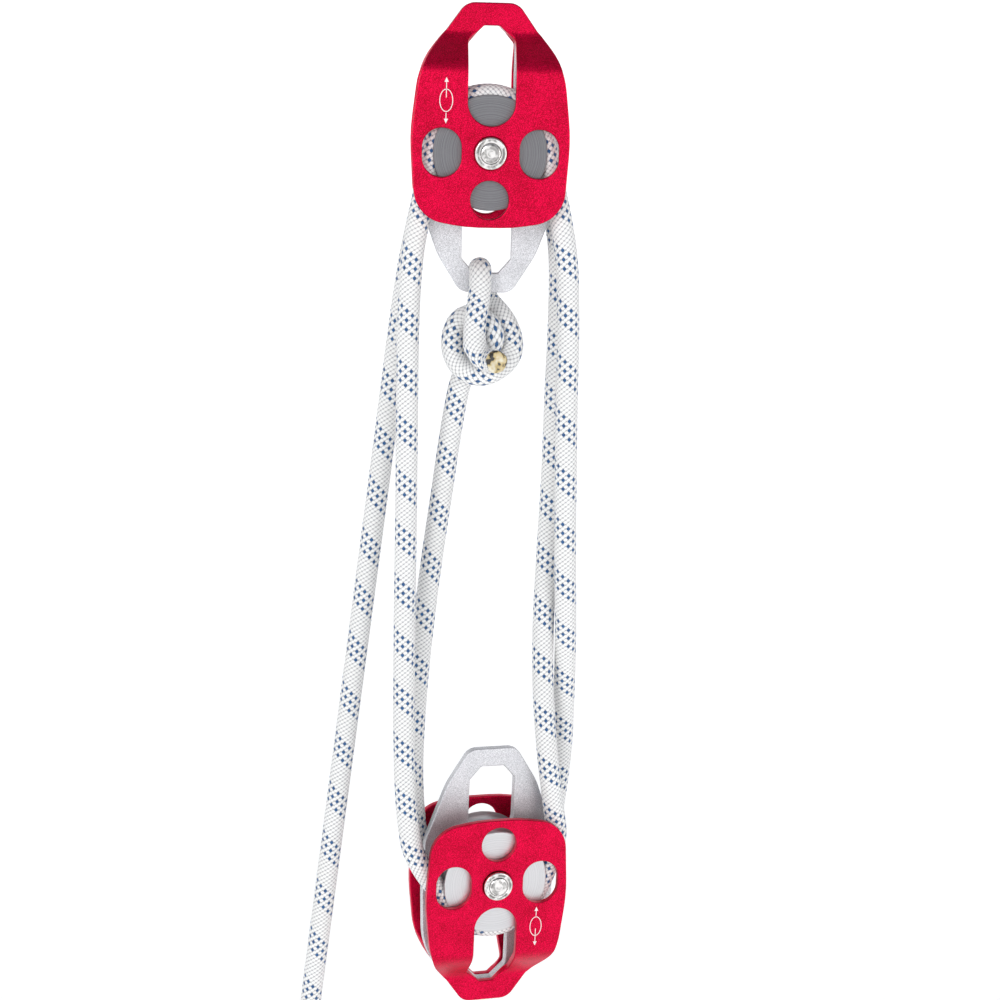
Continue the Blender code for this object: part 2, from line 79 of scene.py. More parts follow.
def jointOf(name):
    return next(joint for joint in frame["joints"] if joint["name"] == name)


def blockPlace(block, seat):
    # a block's axle and directions, from its cheek's hinge and the seat of its eye
    hinge = jointOf(block + "_front_cheek_swing")
    mount = next(mount for mount in record["mounts"] if mount["name"] == seat)
    along = Vector(hinge["axis"]).normalized()
    up = -Vector(mount["axis"]).normalized()
    place = Matrix((along.cross(up), along, up)).transposed().to_4x4()
    place.translation = hinge["pos_m"]
    return place


places = {
    "upper": blockPlace("upper", "anchor_eye_seat"),
    "lower": blockPlace("lower", "load_eye_seat"),
}
sides = {"front": Matrix.Identity(4), "rear": Matrix.Rotation(math.pi, 4, "Z")}

# The rope from its cut end to the stopper knot: x, y and height, the height from the upper axle.
becketKnot = [
    (0.003, -0.0255, -0.107),
    (0.0028, -0.022, -0.1074),
    (0.0006, -0.0188, -0.1086),
    (-0.004, -0.0172, -0.1084),
    (-0.0078, -0.0166, -0.1035),
    (-0.0086, -0.0156, -0.095),
    (-0.0074, -0.0138, -0.086),
    (-0.0056, -0.0114, -0.077),
    (-0.0046, -0.0096, -0.069),
    (-0.0044, -0.0089, -0.063),
    (-0.0044, -0.0062, -0.0586),
    (-0.0044, 0, -0.0566),
    (-0.0044, 0.0062, -0.0586),
    (-0.0044, 0.0089, -0.063),
    (-0.004, 0.0098, -0.069),
    (-0.0025, 0.01, -0.0755),
    (0.0015, 0.0085, -0.0815),
    (0.007, 0.004, -0.0855),
    (0.0106, -0.0005, -0.0925),
    (0.011, -0.003, -0.1015),
    (0.0075, -0.0055, -0.111),
    (0, -0.0065, -0.1175),
    (-0.0095, -0.0065, -0.1175),
    (-0.0175, -0.005, -0.111),
    (-0.0202, -0.004, -0.1015),
    (-0.0185, -0.003, -0.091),
    (-0.0125, -0.0015, -0.0845),
    (-0.0035, -0.003, -0.086),
    (0.0035, -0.008, -0.0925),
    (0.005, -0.0065, -0.1015),
    (0, 0.003, -0.106),
    (-0.0085, 0.008, -0.1105),
    (-0.0135, 0.0085, -0.1205),
]
standingRun = [
    (-0.0165, 0.0085, -0.132),
    (-0.0205, 0.0085, -0.1553),
    (-0.025, 0.0085, -0.1858),
    (-0.031, 0.0085, -0.2263),
    (-0.036, 0.0085, -0.2669),
    (-0.0395, 0.007, -0.3023),
    (-0.0415, 0.0045, -0.3378),
    (-0.041, 0.0023, -0.3632),
    (-0.0385, 0.0013, -0.3835),
]
crossingRun = [
    (0.0365, 0.0184, -0.3835),
    (0.0405, 0.0186, -0.3611),
    (0.043, 0.0155, -0.3328),
    (0.0435, 0.009, -0.2973),
    (0.0432, 0.001, -0.2618),
    (0.042, -0.0055, -0.2212),
    (0.0415, -0.0085, -0.1756),
    (0.0415, -0.0095, -0.13),
    (0.0418, -0.0099, -0.09),
    (0.0405, -0.0099, -0.055),
    (0.0355, -0.0099, -0.026),
]
frontRun = [
    (-0.035, -0.0099, -0.026),
    (-0.04, -0.0099, -0.052),
    (-0.0425, -0.0099, -0.085),
    (-0.0435, -0.0102, -0.13),
    (-0.0445, -0.0108, -0.1908),
    (-0.0458, -0.0128, -0.2517),
    (-0.0465, -0.0155, -0.3023),
    (-0.0463, -0.0178, -0.3378),
    (-0.0448, -0.0193, -0.3632),
    (-0.041, -0.0195, -0.3835),
]
rearRun = [
    (0.0385, -0.0012, -0.3835),
    (0.0368, -0.0026, -0.3611),
    (0.0335, -0.0035, -0.3328),
    (0.031, -0.001, -0.2973),
    (0.031, 0.0045, -0.2618),
    (0.033, 0.0085, -0.2212),
    (0.0355, 0.0097, -0.1756),
    (0.037, 0.0099, -0.13),
    (0.0385, 0.0099, -0.09),
    (0.0385, 0.0099, -0.055),
    (0.0345, 0.0099, -0.026),
]
fall = [
    (-0.0345, 0.0099, -0.026),
    (-0.041, 0.0099, -0.055),
    (-0.047, 0.0099, -0.092),
    (-0.055, 0.0099, -0.15),
    (-0.064, 0.0099, -0.215),
    (-0.073, 0.0099, -0.28),
    (-0.082, 0.0099, -0.345),
    (-0.091, 0.0099, -0.41),
    (-0.099, 0.0099, -0.468),
    (-0.102, 0.0099, -0.49),
]
stopperKnot = [
    (-0.1035, 0.009, -0.503),
    (-0.101, 0.006, -0.514),
    (-0.095, 0.0025, -0.523),
    (-0.093, 0.003, -0.534),
    (-0.101, 0.0055, -0.541),
    (-0.1115, 0.007, -0.537),
    (-0.116, 0.0045, -0.5265),
    (-0.111, 0, -0.517),
    (-0.1015, -0.0025, -0.5135),
    (-0.0915, 0.002, -0.5145),
    (-0.0875, 0.012, -0.52),
    (-0.093, 0.017, -0.5285),
    (-0.103, 0.0135, -0.531),
    (-0.1085, 0.0045, -0.531),
    (-0.11, -0.0055, -0.536),
    (-0.1105, -0.0085, -0.548),
    (-0.111, -0.0085, -0.558),
]


class Value:
    # a node's output, with the arithmetic that adds Math nodes

    def __init__(self, finish, socket):
        self.finish = finish
        self.socket = socket

    def maths(self, operation, *others):
        inputs = dict(enumerate((self,) + others))
        return self.finish.node("ShaderNodeMath", {"operation": operation}, inputs)

    def __add__(self, other):
        return self.maths("ADD", other)

    def __sub__(self, other):
        return self.maths("SUBTRACT", other)

    def __mul__(self, other):
        return self.maths("MULTIPLY", other)

    def __rsub__(self, other):
        return self.finish.node("ShaderNodeMath", {"operation": "SUBTRACT"}, {0: other, 1: self})

    def __mod__(self, other):
        return self.maths("FLOORED_MODULO", other)

    def __lt__(self, other):
        return self.maths("LESS_THAN", other)

    __radd__ = __add__
    __rmul__ = __mul__


class Finish:
    # one material: a Principled shader and the nodes that feed it

    def __init__(self, name, **settings):
        self.material = bpy.data.materials.new(name)
        self.material.use_nodes = True
        self.tree = self.material.node_tree
        self.shader = self.tree.nodes["Principled BSDF"]
        for socket, value in settings.items():
            self.feed(socket, value)

    def connect(self, socket, value):
        if isinstance(value, Value):
            self.tree.links.new(value.socket, socket)
        else:
            socket.default_value = value

    def feed(self, socket, value):
        self.connect(self.shader.inputs[socket.replace("_", " ")], value)

    def node(self, kind, settings=None, inputs=None, output=0):
        made = self.tree.nodes.new(kind)
        for key, value in (settings or {}).items():
            if key == "stops":
                while len(made.color_ramp.elements) < len(value):
                    made.color_ramp.elements.new(1)
                for element, (position, color) in zip(made.color_ramp.elements, value):
                    element.position = position
                    element.color = (*color, 1)
            else:
                setattr(made, key, value)
        for key, value in (inputs or {}).items():
            self.connect(made.inputs[key], value)
        return Value(self, made.outputs[output])

    def place(self):
        return self.node("ShaderNodeTexCoord", output="Object")

    def parts(self, vector):
        split = self.node("ShaderNodeSeparateXYZ", {}, {0: vector})
        return [Value(self, split.socket.node.outputs[axis]) for axis in range(3)]

    def noise(self, size, detail=2):
        # grain of about this size, in metres
        inputs = {"Vector": self.place(), "Scale": 1 / size, "Detail": detail}
        return self.node("ShaderNodeTexNoise", {}, inputs)

    def mix(self, share, first, second):
        inputs = {"Factor": share, 6: (*first, 1) if isinstance(first, tuple) else first}
        inputs[7] = (*second, 1) if isinstance(second, tuple) else second
        return self.node("ShaderNodeMix", {"data_type": "RGBA"}, inputs, 2)

    def ramp(self, value, *stops):
        return self.node("ShaderNodeValToRGB", {"stops": stops}, {0: value})

    def span(self, value, low, high, start, end):
        inputs = {"Value": value, 1: low, 2: high, 3: start, 4: end}
        return self.node("ShaderNodeMapRange", {"clamp": True}, inputs)

    def spread(self, noise, start, end):
        # noise seldom leaves 0.3 to 0.7, so that stretch covers the range
        return self.span(noise, 0.3, 0.7, start, end)

    def bump(self, height, depth, strength):
        inputs = {"Height": height, "Distance": depth, "Strength": strength}
        self.feed("Normal", self.node("ShaderNodeBump", {}, inputs))


def redAnodised():
    look = {
        "deep": (0.34, 0.0006, 0.014),
        "bright": (0.84, 0.0020, 0.064),
        "grain": 0.00042,
        "cloud": 0.014,
        "grainShare": 0.85,  # of the tone, the rest is the cloud's
        "toneSpan": (0.40, 0.60),
        "roughness": (0.34, 0.50),
        "bump": (0.00003, 0.8),  # height and strength
    }
    finish = Finish("crimson anodising", Metallic=0.97, Coat_Weight=0.08, Coat_Roughness=0.3)
    grain = finish.noise(look["grain"], 3)
    cloud = finish.noise(look["cloud"])
    share = look["grainShare"]
    tone = finish.span(grain * share + cloud * (1 - share), *look["toneSpan"], 0, 1)
    finish.feed("Base Color", finish.mix(tone, look["deep"], look["bright"]))
    finish.feed("Roughness", finish.spread(grain, *look["roughness"]))
    finish.bump(grain, *look["bump"])
    return finish.material


def blastedAluminium():
    look = {
        "dark": (0.36, 0.36, 0.38),
        "light": (0.88, 0.88, 0.90),
        "grain": 0.0003,
        "handling": 0.02,
        "grainShare": 0.85,
        "toneSpan": (0.36, 0.64),
        "roughness": (0.40, 0.56),
        "bump": (0.00005, 0.9),
    }
    finish = Finish("bead blasted aluminium", Metallic=0.8)
    grain = finish.noise(look["grain"], 3)
    handling = finish.noise(look["handling"])
    share = look["grainShare"]
    tone = finish.span(grain * share + handling * (1 - share), *look["toneSpan"], 0, 1)
    finish.feed("Base Color", finish.mix(tone, look["dark"], look["light"]))
    finish.feed("Roughness", finish.spread(handling, *look["roughness"]))
    finish.bump(grain, *look["bump"])
    return finish.material


def turnedMetal(block, look):
    # rings round the block's axle, as a lathe tool leaves them
    finish = Finish(block + " " + look["name"], Metallic=1.0)
    centre = places[block].translation
    along = places[block].to_3x3().col[1]
    outward = finish.node(
        "ShaderNodeVectorMath", {"operation": "SUBTRACT"}, {0: finish.place(), 1: centre}
    )
    across = finish.node(
        "ShaderNodeVectorMath", {"operation": "CROSS_PRODUCT"}, {0: outward, 1: along}
    )
    radius = finish.node(
        "ShaderNodeVectorMath", {"operation": "LENGTH"}, {0: across}, "Value"
    )
    rings = finish.node(
        "ShaderNodeTexNoise",
        {"noise_dimensions": "1D"},
        {"W": radius, "Scale": 1 / look["ring"], "Detail": 2},
    )
    # bright patches mixed towards the light tone; on the polished stainless they are strong, and with
    # its near-black and near-white tones they are painted reflections
    patchSize, faint, full, strength = look.get("patches", (0.0035, 0.50, 0.72, 0.3))
    spots = finish.noise(patchSize, 4)
    brightPatches = finish.span(spots, faint, full, 0, strength)
    tone = finish.spread(rings, 0, 1)
    rough = look["roughness"]
    # painted light and shade: for the sheaves the dark and light tones are painted darker in the
    # upper block and brighter in the lower
    ringed = finish.mix(tone, look["dark"], look["light"])
    finish.feed("Base Color", finish.mix(brightPatches, ringed, look["light"]))
    finish.feed("Roughness", finish.spread(spots, rough * 0.8, rough * 1.25))
    finish.bump(rings, 0.00001, 0.3)
    return finish.material


def castMetal(name, dark, light, roughness):
    finish = Finish(name, Metallic=1.0)
    grain = finish.noise(0.0008, 3)
    finish.feed("Base Color", finish.mix(grain, dark, light))
    finish.feed("Roughness", finish.spread(grain, roughness * 0.8, roughness * 1.2))
    finish.bump(grain, 0.00002, 0.6)
    return finish.material


def braidedSheath():
    look = {
        "white": (0.86, 0.86, 0.85),
        "shaded": (0.30, 0.30, 0.32),
        "navy": (0.010, 0.024, 0.10),
        "blue": (0.024, 0.15, 0.36),
        "tracers": 3,  # blue strands, every other one
        "dot": 0.47,  # half the width of a dot, in strands
        "dotAcross": 0.62,  # its reach round the rope
        "yarns": 3,  # in a strand
        "yarnDepth": 0.11,  # shares of a strand's height
        "fibreDepth": 0.25,
        "fibre": 0.00045,
        "soil": (0.66, 0.63, 0.56),
        "soilSize": 0.03,
        "soilStrength": 0.10,
        "bump": (0.00022, 0.75),
    }
    finish = Finish("braided sheath", Roughness=0.78, Sheen_Weight=0.25, Sheen_Roughness=0.5)
    count = rope["strands"]
    around, along, _ = finish.parts(finish.node("ShaderNodeUVMap", {"uv_map": "braid"}))
    one = around * count + along * count
    other = around * count - along * count
    first = one.maths("ROUND")
    second = other.maths("ROUND")
    offFirst = one - first
    offSecond = other - second
    tracerOver = (first + second) % 2 < 0.5
    width = finish.node("ShaderNodeMix", {}, {0: tracerOver, 2: offFirst, 3: offSecond})
    length = finish.node("ShaderNodeMix", {}, {0: tracerOver, 2: offSecond, 3: offFirst})
    crown = 1 - width * width * 3.4 - length * length * 1.1
    yarn = (width * (math.tau * look["yarns"])).maths("COSINE")
    fibres = finish.noise(look["fibre"], 3)
    height = crown + yarn * look["yarnDepth"] + fibres * look["fibreDepth"]
    inSet = (second % count) < (2 * look["tracers"] - 0.5)
    everyOther = (second % 2) < 0.5
    inside = width.maths("ABSOLUTE") < look["dot"]
    inReach = length.maths("ABSOLUTE") < look["dot"]
    narrow = (offFirst + offSecond).maths("ABSOLUTE") < look["dotAcross"]
    dots = tracerOver * inSet * everyOther * inside * inReach * narrow
    # painted shade: the white is painted darker towards the gaps between strands, and a little
    # between yarns, where shade falls
    paintedGapShade = 1 - offFirst * offFirst * 2.4 - offSecond * offSecond * 1.5
    shade = finish.span(paintedGapShade + yarn * 0.05, 0.15, 0.80, 0, 1)
    white = finish.mix(shade, look["shaded"], look["white"])
    soil = finish.span(finish.noise(look["soilSize"], 3), 0.35, 0.75, 0, look["soilStrength"])
    white = finish.mix(soil, white, look["soil"])
    blue = finish.mix(finish.noise(0.0012, 2), look["navy"], look["blue"])
    finish.feed("Base Color", finish.mix(dots, white, blue))
    finish.bump(height, *look["bump"])
    return finish.material


def meltedEnd():
    look = {
        "scorched": (0.47, (0.02, 0.018, 0.015)),
        "amber": (0.52, (0.55, 0.42, 0.18)),
        "pale": (0.66, (0.72, 0.68, 0.55)),
        "patch": 0.006,
        "lump": 0.0014,
        "bump": (0.0005, 0.8),
    }
    finish = Finish("melted rope end", Roughness=0.45, Coat_Weight=0.2)
    patches = finish.noise(look["patch"], 3)
    stops = (look["scorched"], look["amber"], look["pale"])
    finish.feed("Base Color", finish.ramp(patches, *stops))
    finish.bump(finish.noise(look["lump"], 4), *look["bump"])
    return finish.material


def whitePrint():
    look = {"worn": (0.70, 0.55, 0.56), "fresh": (0.92, 0.88, 0.88), "roughness": (0.45, 0.6)}
    finish = Finish("white print", Metallic=0.0)
    wear = finish.noise(0.0004, 3)
    finish.feed("Base Color", finish.mix(wear, look["worn"], look["fresh"]))
    finish.feed("Roughness", finish.spread(wear, *look["roughness"]))
    return finish.material


finishes = {
    "red_anodised": redAnodised(),
    "blasted_aluminium": blastedAluminium(),
    "cage_brass": castMetal("pressed brass", (0.50, 0.34, 0.12), (0.76, 0.58, 0.28), 0.34),
    "bronze": castMetal("turned bronze", (0.42, 0.27, 0.13), (0.62, 0.44, 0.24), 0.36),
    "braid": braidedSheath(),
}
turnedLooks = {
    "machined_aluminium": {"name": "turned aluminium", "roughness": 0.42, "ring": 0.00035},
    "stainless": {
        "name": "polished stainless",
        # painted reflection: the near-black and near-white tones stand for the studio reflected in
        # the polished steel
        "dark": (0.10, 0.095, 0.09),
        "light": (0.86, 0.84, 0.82),
        "roughness": 0.16,
        "ring": 0.0012,
        "patches": (0.0032, 0.44, 0.60, 0.95),
    },
    "race_steel": {
        "name": "ground race steel",
        "dark": (0.48, 0.49, 0.51),
        "light": (0.64, 0.65, 0.67),
        "roughness": 0.22,
        "ring": 0.0004,
    },
}
sheavePaintedLightAndShade = {  # painted light and shade: the upper block's sheaves are painted darker and the lower block's brighter, for the light each catches
    "upper": {"dark": (0.13, 0.13, 0.14), "light": (0.25, 0.25, 0.26)},
    "lower": {"dark": (0.52, 0.52, 0.53), "light": (0.68, 0.68, 0.69)},
}
for block in places:
    for slot, look in turnedLooks.items():
        finishes[block + slot] = turnedMetal(block, {**sheavePaintedLightAndShade[block], **look})
melted = meltedEnd()
printed = whitePrint()
print("tackle: finishes made")


def show(name, mesh, place, body, finish, slot=None, node=None):
    # a finished piece in its place, riding on a body and standing for a CAD node
    piece = bpy.data.objects.new(name, mesh)
    bpy.context.scene.collection.objects.link(piece)
    mesh.transform(place)
    mesh.materials.clear()
    mesh.materials.append(finish)
    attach(piece, body)
    if node:
        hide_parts(node)
    return piece


def evenShading(piece, sharpFrom=math.radians(50)):
    piece.data.shade_smooth()
    piece.data.set_sharp_from_angle(angle=sharpFrom)
    even = piece.modifiers.new("Even shading", "WEIGHTED_NORMAL")
    even.keep_sharp = True


def filleted(corners, arcStep=math.radians(5)):
    # a closed outline: each corner (x, height, radius) becomes an arc that touches both its sides
    outline = []
    for index, (x, height, radius) in enumerate(corners):
        corner = Vector((x, height))
        if not radius:
            outline.append(corner)
            continue
        before = (Vector(corners[index - 1][:2]) - corner).normalized()
        after = (Vector(corners[(index + 1) % len(corners)][:2]) - corner).normalized()
        half = before.angle(after) / 2
        turn = math.pi - 2 * half
        centre = corner + (before + after).normalized() * radius / math.sin(half)
        start = corner + before * radius / math.tan(half) - centre
        steps = max(2, math.ceil(turn / arcStep))
        sign = 1 if before.cross(after) < 0 else -1
        for step in range(steps + 1):
            outline.append(centre + Matrix.Rotation(sign * turn * step / steps, 2) @ start)
    return outline


def mirrored(half):
    return half + [(-x, height, radius) for x, height, radius in reversed(half)]


def ellipse(x, height, halfWidth, halfHeight, count=72):
    turns = [math.tau * step / count for step in range(count)]
    return [
        Vector((x + halfWidth * math.cos(turn), height + halfHeight * math.sin(turn)))
        for turn in turns
    ]


def area(loop):
    return sum(a.cross(b) for a, b in zip(loop, loop[1:] + loop[:1])) / 2


def flatMesh(loops, thickness, edge=0.0):
    # a plate in the XY plane with rounded edges; the first loop is its outline and the rest are holes
    curve = bpy.data.curves.new("outline", "CURVE")
    curve.dimensions = "2D"
    curve.fill_mode = "BOTH"
    curve.extrude = thickness / 2 - edge
    curve.bevel_depth = edge
    curve.bevel_resolution = 3
    curve.offset = -edge
    for index, loop in enumerate(loops):
        if (area(loop) > 0) == (index > 0):
            loop = loop[::-1]
        spline = curve.splines.new("POLY")
        spline.points.add(len(loop) - 1)
        for point, spot in zip(spline.points, loop):
            point.co = (*spot, 0, 1)
        spline.use_cyclic_u = True
    holder = bpy.data.objects.new("outline", curve)
    bpy.context.scene.collection.objects.link(holder)
    graph = bpy.context.evaluated_depsgraph_get()
    mesh = bpy.data.meshes.new_from_object(holder.evaluated_get(graph))
    bpy.data.objects.remove(holder, do_unlink=True)
    bpy.data.curves.remove(curve)
    work = bmesh.new()
    work.from_mesh(mesh)
    bmesh.ops.remove_doubles(work, verts=work.verts, dist=0.00001)
    bmesh.ops.recalc_face_normals(work, faces=work.faces)
    work.to_mesh(mesh)
    work.free()
    return mesh


plate = {
    "edge": 0.0007,
    "centreEdge": 0.0006,
    "eyeEnd": [(0.0132, 0.0754, 0.009), (0.0368, 0.0428, 0.042)],
    "cheekSide": [(0.0409, 0.008, 0.1), (0.0383, -0.0336, 0.018), (0.012, -0.038, 0.08)],
    "centreSide": [
        (0.0383, 0.008, 0.1),
        (0.0375, -0.022, 0.015),
        (0.026, -0.0535, 0.04),
        (0.0135, -0.0735, 0.008),
    ],
    "eyeSlot": [(0.004, 0.0639, 0.002), (0.0122, 0.0559, 0.004), (0.0122, 0.0136, 0.01218)],
    "becketSlot": [(0.013, -0.022, 0.0117), (0.013, -0.0558, 0.002), (0.0065, -0.0633, 0.002)],
    "windowOffset": 0.025,
    "windowHalf": (0.0101, 0.0124),
    "windowRound": 0.0099,
    "drain": (-0.0238, 0.0099),
    "bendStart": 0.0395,
    "bendEnd": 0.0615,
    "bendSteps": 28,
    "bushHole": 0.0083,
    "bore": 0.0048,
}


def window(x):
    # the long hole beside the axle, with straight sides and round ends
    wide, tall = plate["windowHalf"]
    ways = ((1, 1), (1, -1), (-1, -1), (-1, 1))
    return filleted([(x + wide * across, tall * up, plate["windowRound"]) for across, up in ways])


def bend(height):
    # how far the middle of a cheek lies from the block's middle
    share = (height - plate["bendStart"]) / (plate["bendEnd"] - plate["bendStart"])
    share = min(1, max(0, share))
    share = share * share * (3 - 2 * share)
    flat = stack["cheekInner"] + stack["cheek"] / 2
    closed = stack["closedInner"] + stack["cheek"] / 2
    return flat + (closed - flat) * share


def bent(height, above):
    # where a point of the flat cheek comes to lie: its height and its depth
    step = 0.00001
    rise = (bend(height + step) - bend(height - step)) / (2 * step)
    length = math.hypot(1, rise)
    return height - above * rise / length, bend(height) + above / length


def cheekMesh():
    drainHeight, drainRadius = plate["drain"]
    loops = [
        filleted(mirrored(plate["eyeEnd"] + plate["cheekSide"])),
        filleted(mirrored(plate["eyeSlot"])),
        window(-plate["windowOffset"]),
        window(plate["windowOffset"]),
        ellipse(0, drainHeight, drainRadius, drainRadius),
        ellipse(0, 0, plate["bushHole"], plate["bushHole"]),
    ]
    mesh = flatMesh(loops, stack["cheek"], plate["edge"])
    work = bmesh.new()
    work.from_mesh(mesh)
    for step in range(plate["bendSteps"] + 1):
        share = step / plate["bendSteps"]
        height = plate["bendStart"] + (plate["bendEnd"] - plate["bendStart"]) * share
        everything = list(work.verts) + list(work.edges) + list(work.faces)
        bmesh.ops.bisect_plane(
            work, geom=everything, plane_co=(0, height, 0), plane_no=(0, 1, 0), dist=1e-7
        )
    for vert in work.verts:
        height, depth = bent(vert.co.y, vert.co.z)
        vert.co = (vert.co.x, -depth, height)
    bmesh.ops.recalc_face_normals(work, faces=work.faces)
    work.to_mesh(mesh)
    work.free()
    return mesh


def centreMesh():
    loops = [
        filleted(mirrored(plate["eyeEnd"] + plate["centreSide"])),
        filleted(mirrored(plate["eyeSlot"])),
        filleted(mirrored(plate["becketSlot"])),
        ellipse(0, 0, plate["bore"], plate["bore"]),
    ]
    mesh = flatMesh(loops, stack["centre"], plate["centreEdge"])
    mesh.transform(Matrix.Rotation(math.pi / 2, 4, "X"))
    return mesh


def turnedMesh(profile, steps=96, closed=True):
    # a solid turned about Y from points (radius, place along the axle)
    work = bmesh.new()
    verts = [work.verts.new((radius, along, 0)) for radius, along in profile]
    pairs = list(zip(verts, verts[1:] + verts[:1]))
    edges = [work.edges.new(pair) for pair in (pairs if closed else pairs[:-1])]
    bmesh.ops.spin(
        work, geom=verts + edges, axis=(0, 1, 0), angle=math.tau, steps=steps, use_merge=True
    )
    bmesh.ops.remove_doubles(work, verts=work.verts, dist=0.000002)
    bmesh.ops.recalc_face_normals(work, faces=work.faces)
    mesh = bpy.data.meshes.new("turned")
    work.to_mesh(mesh)
    work.free()
    return mesh


roundEdge = math.radians(30)  # arc step of the small turned edges


def ringMesh(inner, outer, start, end, edge=0.0002):
    corners = [(inner, start, edge), (outer, start, edge), (outer, end, edge), (inner, end, edge)]
    return turnedMesh(filleted(corners, roundEdge), 72)


sheave = {
    "bore": 0.0135,
    "flange": 0.0295,
    "groove": 0.0063,
    "flare": 0.00015,  # how far the groove's side opens towards its rim
    "edge": 0.0004,
    "edgeRound": 0.3,  # share of the edge cut back at its middle
    "grooveSteps": 28,
}


def sheaveMesh():
    half = stack["sheaveWidth"] / 2
    edge = sheave["edge"]
    flange = sheave["flange"]
    cut = edge * sheave["edgeRound"]
    rim = [
        (sheave["bore"], half),
        (flange - edge, half),
        (flange - cut, half - cut),
        (flange, half - edge),
        (flange, sheave["groove"] + sheave["flare"]),
    ]
    groove = []
    for turn in np.linspace(-math.pi / 2, math.pi / 2, sheave["grooveSteps"] + 1):
        reach = rope["pitchRadius"] - sheave["groove"] * math.cos(turn)
        groove.append((reach, sheave["groove"] * math.sin(turn)))
    return turnedMesh([(radius, -along) for radius, along in rim] + groove + rim[::-1], 144)


bearing = {
    "bore": 0.0048,
    "inner": 0.008,
    "outerBore": 0.01,
    "outer": 0.0132,
    "half": 0.006,
    "edge": 0.0003,
}
ball = {
    "radius": 0.0016,
    "pitch": 0.009,
    "count": 8,
    "track": 0.0019,  # radius of the track's section
    "trackHalfAngle": 52,
    "trackPoints": 9,
}
cage = {"inner": 0.0085, "outer": 0.0095, "half": 0.0006}
sleeve = {  # the bush in a cheek and the spacer beside the centre plate
    "outer": 0.008,
    "bushOuterEnd": 0.0216,
    "bushInnerEnd": 0.0162,
    "spacerLength": 0.0008,
}


def withTrack(outline, track, side):
    # the outline with the track's points put in where it runs along that side
    for index, point in enumerate(outline):
        following = outline[(index + 1) % len(outline)]
        onSide = abs(point.x - side) < 1e-6 and abs(following.x - side) < 1e-6
        if onSide and abs(following.y - point.y) > bearing["half"]:
            upwards = following.y > point.y
            return outline[: index + 1] + (track if upwards else track[::-1]) + outline[index + 1 :]
    return outline


def raceMesh(bore, outside, side, into):
    # a race with a round track for the balls, cut into it from the side that faces them
    half = bearing["half"]
    edge = bearing["edge"]
    corners = [(bore, -half, edge), (outside, -half, edge), (outside, half, edge), (bore, half, edge)]
    track = []
    widest = math.radians(ball["trackHalfAngle"])
    for turn in np.linspace(-widest, widest, ball["trackPoints"]):
        reach = ball["pitch"] + into * ball["track"] * math.cos(turn)
        if (reach - side) * into > 0.00001:
            track.append(Vector((reach, ball["track"] * math.sin(turn))))
    return turnedMesh(withTrack(filleted(corners, roundEdge), track, side), 72)


pin = {
    "head": 0.0052,
    "end": [  # radius, and height above the washer's face
        (0.0045, -0.001),
        (0.0051, -0.0002),
        (0.0052, 0),
        (0.005, 0.0003),
        (0.0045, 0.00055),
        (0.003432, 0.0007),
        (0.002184, 0.00072),
        (0.0013, 0.00052),
        (0, 0.0004),
    ],
}
washer = {
    "radius": 0.00825,
    "thickness": 0.0016,
    "backBevel": 0.0002,
    "bevel": 0.0008,
    "innerBevel": 0.00025,
    "dish": 0.001,  # how deep it is at the bore
    "arcStep": 18,
}


def axleMesh():
    face = stack["cheekOuter"] + 2 * stack["gap"] + washer["thickness"]
    half = [(radius, face + above) for radius, above in pin["end"]]
    return turnedMesh([(radius, -along) for radius, along in reversed(half)] + half, 96, False)


def washerMesh():
    inner = -(stack["cheekOuter"] + 2 * stack["gap"])
    outer = inner - washer["thickness"]
    corners = [
        (bearing["bore"], inner, 0),
        (washer["radius"], inner, washer["backBevel"]),
        (washer["radius"], outer, washer["bevel"]),
        (pin["head"] + stack["gap"], outer, washer["innerBevel"]),
        (bearing["bore"], outer + washer["dish"], 0),
    ]
    return turnedMesh(filleted(corners, math.radians(washer["arcStep"])), 96)


def ballsMesh():
    work = bmesh.new()
    for step in range(ball["count"]):
        turn = math.tau * step / ball["count"]
        spot = Vector((math.cos(turn), 0, math.sin(turn))) * ball["pitch"]
        bmesh.ops.create_uvsphere(
            work, u_segments=24, v_segments=14, radius=ball["radius"], matrix=Matrix.Translation(spot)
        )
    mesh = bpy.data.meshes.new("balls")
    work.to_mesh(mesh)
    work.free()
    return mesh


mark = {
    "line": 0.00042,
    "proud": 0.00003,
    "offset": (-0.0233, 0.0262),
    "halfWidth": 0.0035,
    "halfHeight": 0.0058,
    "tip": 0.0058,  # past the oval
    "neck": 0.0034,
    "foot": 0.0004,
    "innerFoot": 0.25,  # of the oval's half height, for the arrow that starts inside it
    "arrowHalf": 0.0011,
}


def markMeshes():
    # a plain oval with an arrow at each end, for the way a block is loaded
    x, height = mark["offset"]
    line = mark["line"]
    wide, tall = mark["halfWidth"], mark["halfHeight"]
    ring = [ellipse(x, height, wide, tall), ellipse(x, height, wide - line, tall - line)]
    outlines = [ring]
    half = line / 2
    barb = mark["arrowHalf"]
    for sign, start in ((1, tall * mark["innerFoot"]), (-1, tall + mark["foot"])):
        tip = height + sign * (tall + mark["tip"])
        neck = height + sign * (tall + mark["neck"])
        foot = height + sign * start
        arrow = [(x, tip), (x + barb, neck), (x + half, neck), (x + half, foot)]
        arrow += [(x - half, foot), (x - half, neck), (x - barb, neck)]
        outlines.append([[Vector(spot) for spot in arrow]])
    face = Matrix.Translation((0, -stack["cheekOuter"] - mark["proud"] / 2, 0))
    for loops in outlines:
        mesh = flatMesh(loops, mark["proud"] * 2)
        mesh.transform(face @ Matrix.Rotation(math.pi / 2, 4, "X"))
        yield mesh


